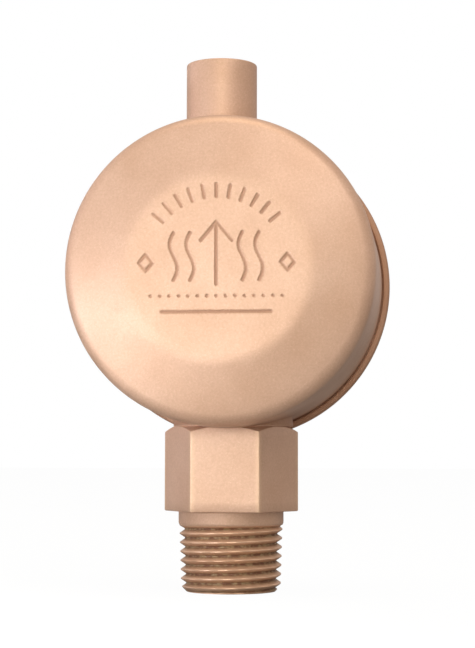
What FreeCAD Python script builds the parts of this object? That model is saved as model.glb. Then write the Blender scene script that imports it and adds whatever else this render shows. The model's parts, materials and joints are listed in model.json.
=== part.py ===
"""Automatic air vent for a steam main: a drum casing with a threaded inlet below and a vent tube on top.

Frame: millimetres, +Z up, origin on the inlet's axis at the lower end of its thread.
The drum's axis lies along Y and its embossed front faces -Y.

Inside, a hollow float carries the valve pin up to its seat. Water lifts the float by buoyancy, and
steam bends the bimetal strip under it. At rest the float stands on the flat strip and the vent is open.
"""

import FreeCAD
import Part
import Sketcher

import math
import os

TOLERANCE = 1e-3

# Driving dimensions, one cell of the sheet each.
SIZES = {
    # inlet nipple, from the thread's end upwards
    "thread_pitch": 1.8143,
    "thread_length": 13.4,
    "thread_end_radius": 10.1,
    "thread_depth": 1.05,
    "thread_root_flat": 0.14,
    "thread_crest_flat": 0.12,
    "thread_end_chamfer": 1.0,
    "collar_step": 0.18,
    "collar_length": 2.8,
    "hex_flats": 23.8,
    "hex_height": 17.1,
    "hex_saddle": 0.4,
    "hex_chamfer_height": 1.55,
    "neck_step": 0.3,
    "inlet_bore_radius": 6.5,
    "inlet_bore_length": 26.0,
    "guide_shoulder": 0.5,
    "spigot_wall": 1.4,
    "spigot_rise": 2.6,
    # front shell, a drawn cup with an embossed face
    "shell_radius": 30.4,
    "shell_wall": 0.9,
    "shell_front": 24.4,
    "rim_clearance": 0.2,
    "shell_corner": 3.2,
    "boss_radius": 18.0,
    "boss_height": 3.3,
    "boss_edge_round": 6.0,
    "flange_width": 1.1,
    # rear cover, rolled over the shell's flange
    "gasket_thickness": 0.4,
    "cover_wall": 0.7,
    "dish_depth": 5.0,
    "dish_radius": 23.4,
    "dish_mouth_radius": 27.8,
    "dish_round": 2.4,
    "lip_gap": 0.6,
    "rim_round": 1.05,
    # vent tube and valve seat, whose axis stands a little to the left of the inlet's
    "valve_offset": 2.1,
    "tube_radius": 6.8,
    "tube_height": 14.7,
    "tube_edge": 0.35,
    "tube_foot_step": 0.5,
    "tube_foot_rise": 1.2,
    "tube_shoulder": 1.2,
    "tube_spigot_reach": 2.5,
    "port_radius": 4.6,
    "port_depth": 6.7,
    "seat_ledge_drop": 9.1,
    "port_step": 0.3,
    "seat_head_step": 0.7,
    "seat_head_height": 1.6,
    "seat_slot_width": 1.0,
    "seat_slot_depth": 0.7,
    "washer_thickness": 0.4,
    "seat_recess": 2.3,
    "orifice_radius": 1.5,
    "cage_wall": 0.7,
    "cage_lap": 1.0,
    "cage_floor": 0.8,
    "cage_window_height": 2.2,
    "cage_window_width": 5.2,
    # float with its pin and stem
    "float_half_depth": 13.0,
    "float_wall": 0.45,
    "float_corner": 4.0,
    "float_recess_radius": 11.0,
    "float_recess_depth": 1.2,
    "float_recess_slope": 1.6,
    "float_lap": 2.4,
    "float_travel": 3.0,
    "lift_clearance": 0.2,
    "pin_radius": 2.0,
    "pin_tail_radius": 1.2,
    "pin_cone_length": 3.0,
    "pin_cone_drop": 1.5,
    "socket_radius": 3.2,
    "socket_height": 2.0,
    "nut_flats": 5.0,
    "nut_height": 1.2,
    "stem_boss_radius": 3.0,
    "stem_boss_height": 2.05,
    "stem_radius": 1.2,
    "clip_radius": 2.6,
    "clip_thickness": 0.5,
    "clip_groove_depth": 0.35,
    "clip_margin": 0.6,
    # stem guide, bracket and bimetal strip
    "guide_flange_width": 1.6,
    "guide_flange_thickness": 0.7,
    "guide_sleeve_wall": 0.8,
    "guide_hub_radius": 2.4,
    "guide_hub_height": 4.0,
    "guide_arm_width": 1.4,
    "bracket_thickness": 0.8,
    "bracket_ring_width": 3.4,
    "arm_width": 10.0,
    "arm_clearance": 1.7,
    "clamp_depth": 5.2,
    "spacer_thickness": 1.6,
    "strip_thickness": 0.6,
    "strip_width": 9.0,
    "strip_end": 4.5,
    "clamp_plate_thickness": 0.6,
    "rivet_radius": 1.0,
    "rivet_head_radius": 1.7,
    "rivet_head_height": 0.5,
    "rivet_spacing": 5.6,
    # clearances
    "press_gap": 0.05,
    "fit_gap": 0.1,
    "slide_gap": 0.12,
    "stem_gap": 0.4,
    "stop_gap": 0.05,
}


class Size:
    """A length that follows the sheet: its value now, and the formula that FreeCAD keeps."""

    def __init__(self, value, formula):
        self.value = value
        self.formula = formula

    def __add__(self, other):
        other = as_size(other)
        return Size(self.value + other.value, f"({self.formula} + {other.formula})")

    def __sub__(self, other):
        other = as_size(other)
        return Size(self.value - other.value, f"({self.formula} - {other.formula})")

    def __mul__(self, other):
        other = as_size(other)
        return Size(self.value * other.value, f"({self.formula} * {other.formula})")

    def __truediv__(self, other):
        other = as_size(other)
        return Size(self.value / other.value, f"({self.formula} / {other.formula})")

    def __neg__(self):
        return Size(-self.value, f"(0 - {self.formula})")


def as_size(number):
    return number if isinstance(number, Size) else Size(float(number), f"({float(number)})")


doc = FreeCAD.newDocument("air_vent")
sheet = doc.addObject("Spreadsheet::Sheet", "sizes")
for row, (alias, value) in enumerate(SIZES.items(), start=1):
    sheet.set(f"A{row}", alias.replace("_", " "))
    sheet.set(f"B{row}", str(value))
    sheet.setAlias(f"B{row}", alias)
doc.recompute()


class Sheet:
    """The sheet's sizes by name, so that a formula reads as plain arithmetic."""

    def __getattr__(self, alias):
        return Size(float(sheet.get(alias)), f"sizes.{alias}")


s = Sheet()
zero = as_size(0)

# Radii about the inlet's and the tube's axes, each from the one it fits.
hex_radius = s.hex_flats / 2
neck_radius = hex_radius - s.neck_step
guide_bore_radius = s.inlet_bore_radius + s.guide_shoulder
spigot_radius = guide_bore_radius + s.spigot_wall
tube_spigot_radius = s.tube_radius - s.tube_shoulder
seat_head_radius = s.port_radius - s.port_step - s.fit_gap
seat_shank_radius = seat_head_radius - s.seat_head_step

# Radii about the drum's axis.
shell_inside = s.shell_radius - s.shell_wall
flange_radius = s.shell_radius + s.flange_width
cover_radius = flange_radius + s.fit_gap + s.cover_wall

# Heights above the origin.
hex_bottom = s.thread_length + s.collar_length
hex_top = hex_bottom + s.hex_height
drum_height = hex_top - s.hex_saddle + s.shell_radius

# Heights above the drum's centre, where most bodies have their origin: first what stands on the nipple.
nipple_top = s.spigot_rise - shell_inside
hub_bottom = nipple_top - s.guide_hub_height
bracket_top = nipple_top + s.bracket_thickness
spacer_top = bracket_top + s.spacer_thickness
strip_top = spacer_top + s.strip_thickness
clamp_top = strip_top + s.clamp_plate_thickness

# Then what hangs from the tube.
tube_top = s.shell_radius + s.tube_height
tube_bottom = shell_inside - s.tube_spigot_reach
seat_ledge = tube_top - s.seat_ledge_drop
seat_bottom = tube_bottom + s.seat_recess
cage_floor_top = tube_bottom - s.cage_window_height
cage_bottom = cage_floor_top - s.cage_floor

# The float at rest fills the height that is left, less its travel.
nut_top = cage_bottom - s.float_travel - s.lift_clearance
socket_top = nut_top - s.nut_height
float_top = socket_top - s.socket_height
boss_bottom = strip_top + s.stop_gap
float_bottom = boss_bottom + s.stem_boss_height
float_radius = (float_top - float_bottom) / 2
float_centre = (float_top + float_bottom) / 2
clip_top = hub_bottom - s.float_travel - s.lift_clearance
clip_bottom = clip_top - s.clip_thickness
stem_end = clip_bottom - s.clip_margin

# The pin's cone closes the orifice where it is as wide, this far above the cone's base.
cone_reach = s.pin_cone_length * (s.pin_radius - s.orifice_radius) / s.pin_cone_drop
cone_base = seat_bottom - cone_reach - s.stop_gap - s.float_travel

# Places along the drum's axis. The rolled rim stands just clear of the wrench hexagon.
lip_front = hex_radius + s.rim_clearance
lip_rear = lip_front + s.cover_wall
flange_front = lip_rear + s.fit_gap
flange_rear = flange_front + s.shell_wall
cover_inside = flange_rear + s.gasket_thickness
arm_front = s.arm_clearance + s.shell_wall - s.shell_front
clamp_rear = arm_front + s.clamp_depth
clamp_centre = arm_front + s.clamp_depth / 2

finished = []


# ---- helpers ----------------------------------------------------------------------------------


def new_body(label, height=drum_height, left=None):
    """A body named as one of the vent's pieces, with its origin raised, and moved left if it has to be."""
    body = doc.addObject("PartDesign::Body", label)
    body.Label = label
    body.setExpression(".Placement.Base.z", height.formula)
    if left is not None:
        body.setExpression(".Placement.Base.x", (-left).formula)
    finished.append(body)
    return body


def new_sketch(body, role):
    sketch = body.newObject("Sketcher::SketchObject", f"{body.Name}_outline")
    plane = next(f for f in body.Origin.OriginFeatures if f.Role == role)
    sketch.AttachmentSupport = (plane, [""])
    sketch.MapMode = "FlatFace"
    return sketch


def bind(sketch, geometry, end, x, y):
    """Holds a point at two bound distances from the sketch's origin."""
    for kind, axis, size in (("DistanceX", -2, x), ("DistanceY", -1, y)):
        if abs(size.value) < TOLERANCE:
            sketch.addConstraint(Sketcher.Constraint("PointOnObject", geometry, end, axis))
            continue
        index = sketch.addConstraint(Sketcher.Constraint(kind, -1, 1, geometry, end, size.value))
        sketch.setExpression(f"Constraints[{index}]", size.formula)


def polygon(body, role, corners):
    """A closed outline of straight lines through bound corners."""
    sketch = new_sketch(body, role)
    points = [FreeCAD.Vector(x.value, y.value, 0) for x, y in corners]
    count = len(points)
    for i in range(count):
        sketch.addGeometry(Part.LineSegment(points[i], points[(i + 1) % count]), False)
    for i in range(count):
        sketch.addConstraint(Sketcher.Constraint("Coincident", i, 2, (i + 1) % count, 1))
    for i, (x, y) in enumerate(corners):
        bind(sketch, i, 1, x, y)
    return sketch


def rectangle(body, role, left, right, low, high):
    return polygon(body, role, [(left, low), (right, low), (right, high), (left, high)])


def circles(body, role, places):
    """Circles given as (x, y, radius), all bound."""
    sketch = new_sketch(body, role)
    for i, (x, y, radius) in enumerate(places):
        centre = FreeCAD.Vector(x.value, y.value, 0)
        sketch.addGeometry(Part.Circle(centre, FreeCAD.Vector(0, 0, 1), radius.value), False)
        bind(sketch, i, 3, x, y)
        index = sketch.addConstraint(Sketcher.Constraint("Radius", i, radius.value))
        sketch.setExpression(f"Constraints[{index}]", radius.formula)
    return sketch


def hexagon(body, role, flats):
    """A hexagon with two sides parallel to the sketch's horizontal axis."""
    half = flats / 2
    half_side = flats * (0.5 / math.sqrt(3))
    corner = half_side * 2
    return polygon(body, role, [
        (corner, zero), (half_side, half), (-half_side, half),
        (-corner, zero), (-half_side, -half), (half_side, -half),
    ])


def feature(body, kind, profile):
    item = body.newObject(f"PartDesign::{kind}", f"{body.Name}_{kind.lower()}")
    item.Profile = profile
    profile.Visibility = False
    return item


def revolve(body, corners, cut=False, role="XZ_Plane"):
    """Turns an outline of (radius, height) corners about the sketch's upright axis, to add or cut."""
    sketch = polygon(body, role, corners)
    item = feature(body, "Groove" if cut else "Revolution", sketch)
    item.ReferenceAxis = (sketch, ["V_Axis"])
    item.Angle = 360
    doc.recompute()
    return item


def pad(body, sketch, length, down=False):
    item = feature(body, "Pad", sketch)
    item.setExpression("Length", length.formula)
    item.Reversed = down
    doc.recompute()
    return item


def pocket(body, sketch, both=True, up=False):
    """Cuts a sketch right through, both ways from its plane or one way only."""
    before = body.Shape.Volume
    item = feature(body, "Pocket", sketch)
    item.Type = "ThroughAll"
    item.Midplane = both
    item.Reversed = up
    doc.recompute()
    if body.Shape.Volume > before - TOLERANCE:
        raise RuntimeError(f"{item.Name} cuts nothing")
    return item


def circular_edges(shape, places, axis):
    """Names of the circular edges that have these (radius, distance along the axis) pairs."""
    names = []
    for radius, along in places:
        for number, edge in enumerate(shape.Edges, start=1):
            curve = edge.Curve
            if not isinstance(curve, Part.Circle):
                continue
            if abs(curve.Radius - radius.value) > TOLERANCE:
                continue
            if abs(getattr(curve.Center, axis) - along.value) < TOLERANCE:
                names.append(f"Edge{number}")
    return names


def dress(body, kind, amount, places, axis="z"):
    """Rounds or bevels circular edges of a body, named by their radius and place along its axis."""
    base = body.Tip
    names = circular_edges(base.Shape, places, axis)
    if len(names) != len(places):
        raise RuntimeError(f"{body.Name}: {len(names)} of {len(places)} edges found to {kind.lower()}")
    item = body.newObject(f"PartDesign::{kind}", f"{body.Name}_{kind.lower()}")
    item.Base = (base, names)
    item.setExpression("Radius" if kind == "Fillet" else "Size", amount.formula)
    doc.recompute()
    return item


def hollow(body, wall, along):
    """Leaves a wall inside the body's skin and takes away its flat face at this place along Y."""
    base = body.Tip
    faces = [f"Face{n}" for n, face in enumerate(base.Shape.Faces, start=1)
             if isinstance(face.Surface, Part.Plane)
             and abs(face.CenterOfMass.y - along.value) < TOLERANCE]
    item = body.newObject("PartDesign::Thickness", f"{body.Name}_wall")
    item.Base = (base, faces)
    item.setExpression("Value", wall.formula)
    item.Reversed = True
    item.Join = 0
    doc.recompute()
    return item


def ring(body, inner, outer, low, high, role="XZ_Plane"):
    return revolve(body, [(inner, low), (outer, low), (outer, high), (inner, high)], role=role)


# ---- casing -----------------------------------------------------------------------------------


def make_front_shell():
    """The drawn cup that makes the front and side of the drum, with a flange at its open end."""
    body = new_body("front_shell")
    face = -s.shell_front
    boss = face - s.boss_height
    revolve(body, [
        (zero, boss), (s.boss_radius, boss), (s.shell_radius, face),
        (s.shell_radius, flange_rear), (zero, flange_rear),
    ], role="XY_Plane")
    dress(body, "Fillet", s.shell_corner, [(s.shell_radius, face)], axis="y")
    dress(body, "Fillet", s.boss_edge_round, [(s.boss_radius, boss)], axis="y")
    hollow(body, s.shell_wall, flange_rear)
    ring(body, shell_inside, flange_radius, flange_front, flange_rear, role="XY_Plane")
    pocket(body, circles(body, "XY_Plane", [(zero, zero, spigot_radius + s.press_gap)]), both=False)
    tube_hole = circles(body, "XY_Plane", [(-s.valve_offset, zero, tube_spigot_radius + s.press_gap)])
    pocket(body, tube_hole, both=False, up=True)


def make_rear_cover():
    """The dished cover, whose rim is rolled round the shell's flange and back over its front."""
    body = new_body("rear_cover")
    back = cover_inside + s.cover_wall
    dish = back + s.dish_depth
    revolve(body, [
        (zero, lip_front), (cover_radius, lip_front), (cover_radius, back),
        (s.dish_mouth_radius, back), (s.dish_radius, dish), (zero, dish),
    ], role="XY_Plane")
    dress(body, "Fillet", s.dish_round, [(s.dish_radius, dish), (s.dish_mouth_radius, back)], axis="y")
    dress(body, "Fillet", s.rim_round, [(cover_radius, back)], axis="y")
    hollow(body, s.cover_wall, lip_front)
    ring(body, s.shell_radius + s.lip_gap, cover_radius, lip_front, lip_rear, role="XY_Plane")


def make_seam_gasket():
    """The flat ring that is squeezed between the shell's flange and the cover."""
    body = new_body("seam_gasket")
    outer = flange_radius - (s.rim_round - s.cover_wall)
    ring(body, shell_inside, outer, flange_rear, cover_inside, role="XY_Plane")


# ---- inlet ------------------------------------------------------------------------------------


def thread_groove(centre):
    """The four corners of one groove, cut into the cone of the thread's crests."""
    half_mouth = (s.thread_pitch - s.thread_crest_flat) / 2
    half_root = s.thread_root_flat / 2
    root = crest_radius(centre) - s.thread_depth
    low = centre - half_mouth
    high = centre + half_mouth
    return [
        (crest_radius(low), low), (root, centre - half_root),
        (root, centre + half_root), (crest_radius(high), high),
    ]


def crest_radius(height):
    """Pipe thread widens by one part in sixteen of its length."""
    return s.thread_end_radius + height / 32


def make_inlet_nipple():
    """Turned from hexagon bar: tapered pipe thread, collar, wrench hexagon, and a spigot in the drum.

    The thread's groove is drawn as parallel rings at the real pitch, taper and depth.
    """
    body = new_body("inlet_nipple", zero)
    chamfer = s.thread_end_chamfer
    thread_top = crest_radius(s.thread_length)
    collar = thread_top + s.collar_step
    outline = [(zero, zero), (s.thread_end_radius - chamfer, zero), (crest_radius(chamfer), chamfer)]
    turns = int((s.thread_length.value - chamfer.value) / s.thread_pitch.value)
    for turn in range(turns):
        outline += thread_groove(chamfer + s.thread_pitch * (turn + 0.5))
    outline += [
        (thread_top, s.thread_length), (collar, s.thread_length), (collar, hex_bottom), (zero, hex_bottom),
    ]
    revolve(body, outline)
    pad_above(body, hexagon(body, "XY_Plane", s.hex_flats), hex_bottom, s.hex_height)
    bevel_hexagon(body)
    neck_top = drum_height - shell_inside + s.spigot_rise / 2
    pad_above(body, circle(body, neck_radius), hex_top, neck_top - hex_top)
    pocket(body, circles(body, "XZ_Plane", [(zero, drum_height, s.shell_radius + s.press_gap)]))
    top = drum_height + nipple_top
    pad_above(body, circle(body, spigot_radius), hex_bottom, top - hex_bottom)
    bore(body, [(zero, s.inlet_bore_radius), (s.inlet_bore_length, guide_bore_radius)], top)


def circle(body, radius):
    return circles(body, "XY_Plane", [(zero, zero, radius)])


def pad_above(body, sketch, low, height):
    """Pads a sketch from a height above the body's base plane."""
    sketch.setExpression(".AttachmentOffset.Base.z", low.formula)
    return pad(body, sketch, height)


def bevel_hexagon(body):
    """Turns the hexagon's upper corners down to a circle as wide as its flats."""
    outside = s.hex_flats * (1.05 / math.sqrt(3))
    low = hex_top - s.hex_chamfer_height
    revolve(body, [(hex_radius, hex_top), (outside, low), (outside, hex_top)], cut=True)


def bore(body, steps, top):
    """Cuts one stepped hole upwards: each step gives its lower end and its radius."""
    outline = [(zero, steps[0][0])]
    heights = [low for low, _ in steps[1:]] + [top]
    for (low, radius), high in zip(steps, heights):
        outline += [(radius, low), (radius, high)]
    outline.append((zero, top))
    revolve(body, outline, cut=True)


# ---- vent tube, seat and pin cage ---------------------------------------------------------------


def make_outlet_tube():
    """The vent's outlet: a plain tube on a braze foot saddled on the drum, with a spigot through its wall."""
    body = new_body("outlet_tube", left=s.valve_offset)
    foot_radius = s.tube_radius + s.tube_foot_step
    foot_top = s.shell_radius + s.tube_foot_rise
    revolve(body, [
        (zero, zero), (foot_radius, zero), (foot_radius, foot_top - s.tube_foot_step),
        (s.tube_radius, foot_top), (s.tube_radius, tube_top), (zero, tube_top),
    ])
    dress(body, "Fillet", s.tube_edge, [(s.tube_radius, tube_top)])
    pocket(body, circles(body, "XZ_Plane", [(s.valve_offset, zero, s.shell_radius + s.press_gap)]))
    spigot = circle(body, tube_spigot_radius)
    pad_above(body, spigot, tube_bottom, tube_top - s.tube_edge - tube_bottom)
    bore(body, [
        (tube_bottom, seat_shank_radius + s.press_gap),
        (seat_ledge, seat_head_radius + s.fit_gap),
        (tube_top - s.port_depth, s.port_radius),
    ], tube_top)


def make_valve_seat():
    """A screwed-in seat: its orifice is closed from below by the pin's cone."""
    body = new_body("valve_seat", left=s.valve_offset)
    under_head = seat_ledge + s.washer_thickness
    head_top = under_head + s.seat_head_height
    slot_half = s.seat_slot_width / 2
    revolve(body, [
        (s.orifice_radius, seat_bottom), (seat_shank_radius, seat_bottom),
        (seat_shank_radius, under_head), (seat_head_radius, under_head),
        (seat_head_radius, head_top), (s.orifice_radius, head_top),
    ])
    slot_top = head_top + s.fit_gap
    slot_floor = head_top - s.seat_slot_depth
    pocket(body, rectangle(body, "YZ_Plane", -slot_half, slot_half, slot_floor, slot_top))


def make_seat_washer():
    body = new_body("seat_washer", left=s.valve_offset)
    ring(body, seat_shank_radius + s.fit_gap, seat_head_radius, seat_ledge, seat_ledge + s.washer_thickness)


def make_pin_cage():
    """A cap on the tube's spigot: its floor guides the pin and its windows let the air through."""
    body = new_body("pin_cage", left=s.valve_offset)
    inner = tube_spigot_radius + s.press_gap
    outer = inner + s.cage_wall
    rim = tube_bottom + s.cage_lap
    pin_hole = s.pin_radius + s.slide_gap
    revolve(body, [
        (pin_hole, cage_bottom), (outer, cage_bottom), (outer, rim),
        (inner, rim), (inner, cage_floor_top), (pin_hole, cage_floor_top),
    ])
    half = s.cage_window_width / 2
    for plane in ("XZ_Plane", "YZ_Plane"):
        pocket(body, rectangle(body, plane, -half, half, cage_floor_top, tube_bottom))


# ---- float ------------------------------------------------------------------------------------


def float_half(label, radius, rim, side):
    """One drawn half of the float: a cup with a recessed centre, open at its rim."""
    body = new_body(label, drum_height + float_centre)
    face = s.float_half_depth * side
    recess = face - s.float_recess_depth * side
    recess_floor = s.float_recess_radius - s.float_recess_slope
    revolve(body, [
        (zero, recess), (recess_floor, recess), (s.float_recess_radius, face),
        (radius, face), (radius, rim), (zero, rim),
    ], role="XY_Plane")
    dress(body, "Fillet", s.float_corner, [(radius, face)], axis="y")
    hollow(body, s.float_wall, rim)


def make_float_front_half():
    inner_lap = float_radius - s.float_wall - s.press_gap
    float_half("float_front_half", inner_lap, s.float_lap / 2, -1)


def make_float_rear_half():
    float_half("float_rear_half", float_radius, -(s.float_lap / 2), 1)


def saddle(body, offset=zero):
    """Fits a piece that is soldered on the float to the float's round rim."""
    shape = circles(body, "XZ_Plane", [(offset, float_centre, float_radius + s.press_gap)])
    pocket(body, shape)


def make_pin_socket():
    """The cup on the float's rim that holds the pin's tail."""
    body = new_body("pin_socket", left=s.valve_offset)
    pad(body, circle(body, s.socket_radius), socket_top)
    saddle(body, s.valve_offset)
    pocket(body, circle(body, s.pin_tail_radius + s.press_gap))


def make_valve_pin():
    """The pin: a tail in the socket, a guided shank, and the cone that closes the orifice."""
    body = new_body("valve_pin", left=s.valve_offset)
    tip = s.pin_radius - s.pin_cone_drop
    cone_top = cone_base + s.pin_cone_length
    revolve(body, [
        (zero, float_top + s.fit_gap), (s.pin_tail_radius, float_top + s.fit_gap),
        (s.pin_tail_radius, nut_top), (s.pin_radius, nut_top),
        (s.pin_radius, cone_base), (tip, cone_top), (zero, cone_top),
    ])


def make_pin_nut():
    """The thin nut between the socket and the pin's shoulder."""
    body = new_body("pin_nut", drum_height + socket_top, left=s.valve_offset)
    pad(body, hexagon(body, "XY_Plane", s.nut_flats), s.nut_height)
    pocket(body, circle(body, s.pin_tail_radius + s.press_gap))


def make_stem_boss():
    """The foot under the float: it holds the guide stem and rests on the bimetal strip."""
    body = new_body("stem_boss")
    sketch = circle(body, s.stem_boss_radius)
    pad_above(body, sketch, boss_bottom, float_centre - boss_bottom)
    saddle(body)
    pocket(body, circle(body, s.stem_radius + s.press_gap))


def make_guide_stem():
    """The rod that keeps the float upright, grooved near its end for the clip."""
    body = new_body("guide_stem")
    groove = s.stem_radius - s.clip_groove_depth
    top = float_bottom - s.stop_gap
    revolve(body, [
        (zero, stem_end), (s.stem_radius, stem_end), (s.stem_radius, clip_bottom), (groove, clip_bottom),
        (groove, clip_top), (s.stem_radius, clip_top), (s.stem_radius, top), (zero, top),
    ])


def make_stem_clip():
    """An open retaining ring, sprung into the stem's groove from one side."""
    inner = s.stem_radius - s.clip_groove_depth + s.press_gap
    body = new_body("stem_clip", drum_height + clip_bottom + s.press_gap / 2)
    thickness = s.clip_thickness - s.press_gap
    pad(body, circle(body, s.clip_radius), thickness)
    pocket(body, circle(body, inner))
    reach = s.clip_radius + s.fit_gap
    pocket(body, rectangle(body, "XY_Plane", zero, reach, -inner, inner))


# ---- stem guide, bracket and bimetal strip -------------------------------------------------------


def make_stem_guide():
    """A sleeve pressed into the nipple: three arms carry the hub in which the stem slides."""
    body = new_body("stem_guide")
    outer = guide_bore_radius - s.press_gap
    inner = outer - s.guide_sleeve_wall
    low = s.inlet_bore_length - drum_height
    high = bracket_top + s.guide_flange_thickness
    flange = guide_bore_radius + s.guide_flange_width
    revolve(body, [
        (inner, low), (outer, low), (outer, bracket_top), (flange, bracket_top),
        (flange, high), (inner, high),
    ])
    arm_half = s.guide_arm_width / 2
    reach = inner + s.guide_sleeve_wall / 2
    arm = rectangle(body, "XY_Plane", zero, reach, -arm_half, arm_half)
    first = pad_above(body, arm, hub_bottom, s.guide_hub_height)
    arms = body.newObject("PartDesign::PolarPattern", "stem_guide_arms")
    arms.Originals = [first]
    arms.Axis = (arm, ["N_Axis"])
    arms.Angle = 360
    arms.Occurrences = 3
    body.Tip = arms
    doc.recompute()
    pad_above(body, circle(body, s.guide_hub_radius), hub_bottom, s.guide_hub_height)
    pocket(body, circle(body, s.stem_radius + s.slide_gap))


def clamp_holes(body):
    """The two rivet holes that the bracket, spacer, strip and clamp plate share."""
    across = s.rivet_spacing / 2
    hole = s.rivet_radius + s.press_gap
    places = [(across, clamp_centre, hole), (-across, clamp_centre, hole)]
    pocket(body, circles(body, "XY_Plane", places))


def clamped_plate(label, low, thickness, width, rear):
    """A plate that starts at the clamp's front end and reaches back to a given place."""
    body = new_body(label, drum_height + low)
    outline = rectangle(body, "XY_Plane", -width / 2, width / 2, arm_front, rear)
    pad(body, outline, thickness)
    clamp_holes(body)
    return body


def make_bimetal_bracket():
    """The ring held down by the stem guide's flange, with an arm forward to the strip's clamp."""
    body = new_body("bimetal_bracket", drum_height + nipple_top)
    pad(body, circle(body, guide_bore_radius + s.bracket_ring_width), s.bracket_thickness)
    arm = rectangle(body, "XY_Plane", -s.arm_width / 2, s.arm_width / 2, arm_front, -guide_bore_radius)
    pad(body, arm, s.bracket_thickness)
    pocket(body, circle(body, guide_bore_radius + s.press_gap))
    clamp_holes(body)


def make_strip_spacer():
    clamped_plate("strip_spacer", bracket_top, s.spacer_thickness, s.arm_width, clamp_rear)


def make_bimetal_strip():
    """The strip that bends up in steam. The float's foot rests on it round the stem's hole."""
    body = clamped_plate("bimetal_strip", spacer_top, s.strip_thickness, s.strip_width, s.strip_end)
    pocket(body, circle(body, s.stem_radius + s.stem_gap))


def make_clamp_plate():
    clamped_plate("clamp_plate", strip_top, s.clamp_plate_thickness, s.arm_width, clamp_rear)


def make_clamp_rivets():
    """Two rivets through the clamp, each a shank with a flat head at both ends."""
    low = nipple_top
    high = clamp_top
    rivets = []
    for number, side in enumerate((1, -1), start=1):
        parts = []
        for name, radius, bottom, height in (
            ("shank", s.rivet_radius, low, high - low),
            ("lower_head", s.rivet_head_radius, low - s.rivet_head_height, s.rivet_head_height),
            ("upper_head", s.rivet_head_radius, high, s.rivet_head_height),
        ):
            part = doc.addObject("Part::Cylinder", f"rivet_{number}_{name}")
            part.setExpression("Radius", radius.formula)
            part.setExpression("Height", height.formula)
            part.setExpression(".Placement.Base.x", (s.rivet_spacing / 2 * side).formula)
            part.setExpression(".Placement.Base.y", clamp_centre.formula)
            part.setExpression(".Placement.Base.z", bottom.formula)
            parts.append(part)
        rivet = doc.addObject("Part::MultiFuse", f"rivet_{number}")
        rivet.Shapes = parts
        rivets.append(rivet)
    pair = doc.addObject("Part::Compound", "clamp_rivets")
    pair.Label = "clamp_rivets"
    pair.Links = rivets
    pair.setExpression(".Placement.Base.z", drum_height.formula)
    finished.append(pair)


# ---- build, test and write -----------------------------------------------------------------------

for make in (
    make_front_shell, make_rear_cover, make_seam_gasket, make_inlet_nipple,
    make_outlet_tube, make_valve_seat, make_seat_washer, make_pin_cage,
    make_float_front_half, make_float_rear_half, make_pin_socket, make_valve_pin, make_pin_nut,
    make_stem_boss, make_guide_stem, make_stem_clip,
    make_stem_guide, make_bimetal_bracket, make_strip_spacer, make_bimetal_strip,
    make_clamp_plate, make_clamp_rivets,
):
    make()
doc.recompute()

failed = [item.Name for item in doc.Objects if {"Invalid", "Error"} & set(item.State)]
failed += [item.Label for item in finished if item.Shape.isNull() or not item.Shape.isValid()]
if failed:
    raise RuntimeError(f"not built: {failed}")

os.makedirs("parts", exist_ok=True)
for item in finished:
    item.Shape.exportStep(f"parts/{item.Label}.step")
    box = item.Shape.optimalBoundingBox()
    size = f"{box.XLength:.1f} x {box.YLength:.1f} x {box.ZLength:.1f}"
    print(f"{item.Label}: {len(item.Shape.Solids)} solid, {item.Shape.Volume:.0f} mm3, {size} mm")
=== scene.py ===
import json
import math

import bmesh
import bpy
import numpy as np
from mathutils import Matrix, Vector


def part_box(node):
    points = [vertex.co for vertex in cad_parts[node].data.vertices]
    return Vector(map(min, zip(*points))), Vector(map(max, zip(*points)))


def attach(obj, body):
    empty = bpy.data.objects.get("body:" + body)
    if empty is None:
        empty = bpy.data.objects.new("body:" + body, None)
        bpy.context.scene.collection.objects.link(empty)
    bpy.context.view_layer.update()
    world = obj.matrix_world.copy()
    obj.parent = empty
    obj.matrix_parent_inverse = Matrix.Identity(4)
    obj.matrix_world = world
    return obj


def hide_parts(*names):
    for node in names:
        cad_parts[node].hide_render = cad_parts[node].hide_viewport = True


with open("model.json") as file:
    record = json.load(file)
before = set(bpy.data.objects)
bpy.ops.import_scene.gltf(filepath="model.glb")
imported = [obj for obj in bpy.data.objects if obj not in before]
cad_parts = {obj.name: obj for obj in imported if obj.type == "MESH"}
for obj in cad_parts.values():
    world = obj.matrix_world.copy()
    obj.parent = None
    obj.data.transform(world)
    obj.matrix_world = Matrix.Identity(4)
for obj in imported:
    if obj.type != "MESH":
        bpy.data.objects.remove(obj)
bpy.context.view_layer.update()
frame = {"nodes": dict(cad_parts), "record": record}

# %% [markdown]
# # An automatic air vent for a steam main
#
# The vent is a drum of drawn sheet, painted in a fine metallic bronze, with a short plain tube on top and a
# hexagon nipple with a tapered pipe thread below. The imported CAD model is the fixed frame: it already holds
# the float, the valve and the bimetal strip inside. Blender makes the outside skin again, because paint,
# stamped marks and a helical thread need a finer mesh than the CAD gives, and it gives every piece a finish.
#
# Lengths are written in millimetres and turned into metres once, when a mesh is made.

MM = 0.001
scene = bpy.context.scene


def millimetres(node):
    """A CAD node's lowest and highest corners, in millimetres."""
    low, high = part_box(node)
    return np.array(low) / MM, np.array(high) / MM


# %% [markdown]
# ## Sizes taken from the frame
#
# Each visible piece stands where its CAD node stands, so the drum's centre, the heights of the hexagon and
# the tube, and the outer radii are read from the nodes' boxes. What a box can't say, such as a wall's
# thickness, is the maker's own size and is named here once.

# %% Sizes
shell_low, shell_high = millimetres("front_shell")
cover_low, cover_high = millimetres("rear_cover")
nipple_high = millimetres("inlet_nipple")[1]
tube_low, tube_high = millimetres("outlet_tube")

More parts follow.
